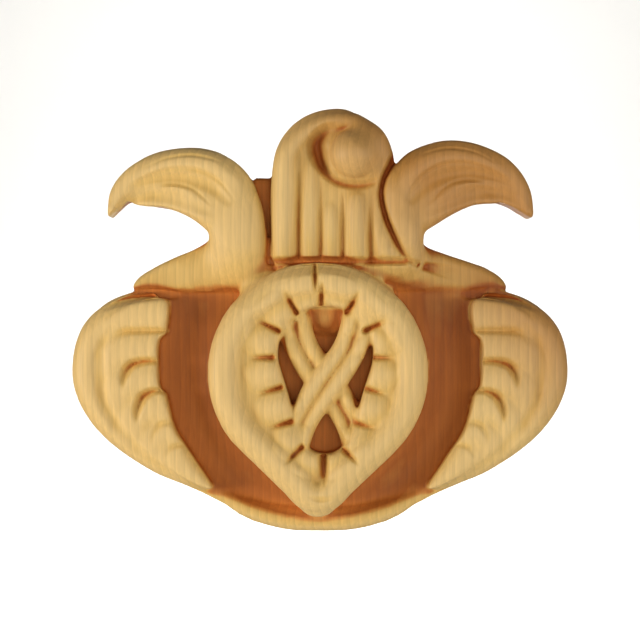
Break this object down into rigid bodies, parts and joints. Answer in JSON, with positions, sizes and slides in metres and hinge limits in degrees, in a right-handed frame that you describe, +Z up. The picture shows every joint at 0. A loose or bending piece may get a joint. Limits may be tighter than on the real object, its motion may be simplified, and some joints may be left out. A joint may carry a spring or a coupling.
{
  "type": "carved frieze centrepiece",
  "caption": "Carved wooden centrepiece with a split fruit in a leafed cup, two curling leaves and a fluted scroll, fixed flat-backed to a frieze.",
  "frame": {"origin": "middle of the width and of the height, on the flat back", "axes": "+X to the viewer's right, +Y out of the flat back towards the wall, +Z up; the carved face looks along -Y"},
  "size_m": [0.15, 0.0194, 0.1276],
  "materials": {
    "pine": "unfinished pale softwood, carved and sanded"
  },
  "bodies": {
    "root": {"frieze_centrepiece": "pine"}
  },
  "joints": []
}
